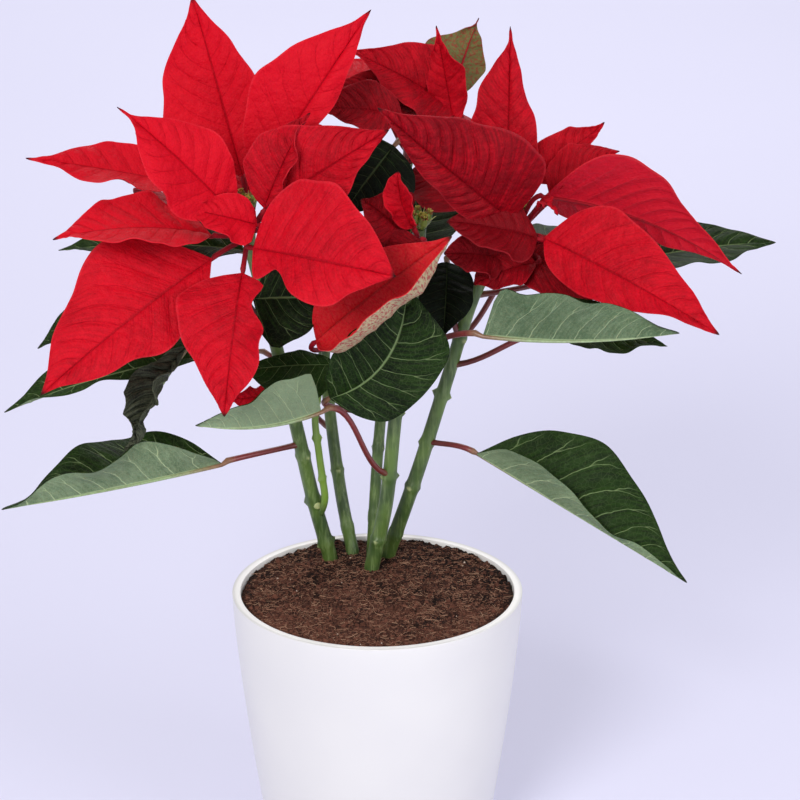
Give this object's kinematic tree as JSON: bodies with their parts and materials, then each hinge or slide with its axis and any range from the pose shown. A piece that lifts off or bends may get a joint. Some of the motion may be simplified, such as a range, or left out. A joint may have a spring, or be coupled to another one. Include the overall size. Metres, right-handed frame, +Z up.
{
  "type": "potted poinsettia",
  "caption": "Poinsettia in a plain round tapered pot: upright green stems, pointed green leaves on red stalks, and whorls of red bracts round small yellow-green cyathia.",
  "frame": {"origin": "centre of the pot's flat underside, on the surface it stands on", "axes": "+Z up through the pot's axis; -Y is the plant's front, which the flower heads lean to; +X is to the right seen from the front"},
  "size_m": [0.3673, 0.228, 0.413],
  "materials": {
    "pot": "satin",
    "soil": "matte",
    "stem": "satin",
    "leaf": "satin",
    "bract": "matte",
    "cyathia": "satin"
  },
  "bodies": {
    "root": {"pot": "pot", "soil": "soil", "stem_left": "stem", "stem_rear_left": "stem", "stem_middle": "stem", "stem_rear": "stem", "stem_right": "stem", "leaf_centre_left": "leaf", "leaf_front_centre": "leaf", "leaf_front_left": "leaf", "leaf_front_right": "leaf", "leaf_inner_dark": "leaf", "leaf_inner_left": "leaf", "leaf_inner_right": "leaf", "leaf_left_behind": "leaf", "leaf_left_rear": "leaf", "leaf_left_tip": "leaf", "leaf_low_left": "leaf", "leaf_low_right": "leaf", "leaf_rear_high": "leaf", "leaf_rear_low": "leaf", "leaf_rear_side": "leaf", "leaf_right_rear": "leaf", "leaf_right_tip": "leaf", "leaf_right_under": "leaf", "leaf_withered": "leaf", "bracts_left": "bract", "cyathia_left": "cyathia", "bracts_shoot": "bract", "cyathia_shoot": "cyathia", "bracts_middle": "bract", "cyathia_middle": "cyathia", "bracts_rear_left": "bract", "cyathia_rear_left": "cyathia", "bracts_rear": "bract", "cyathia_rear": "cyathia", "bracts_right": "bract", "cyathia_right": "cyathia"}
  },
  "joints": []
}
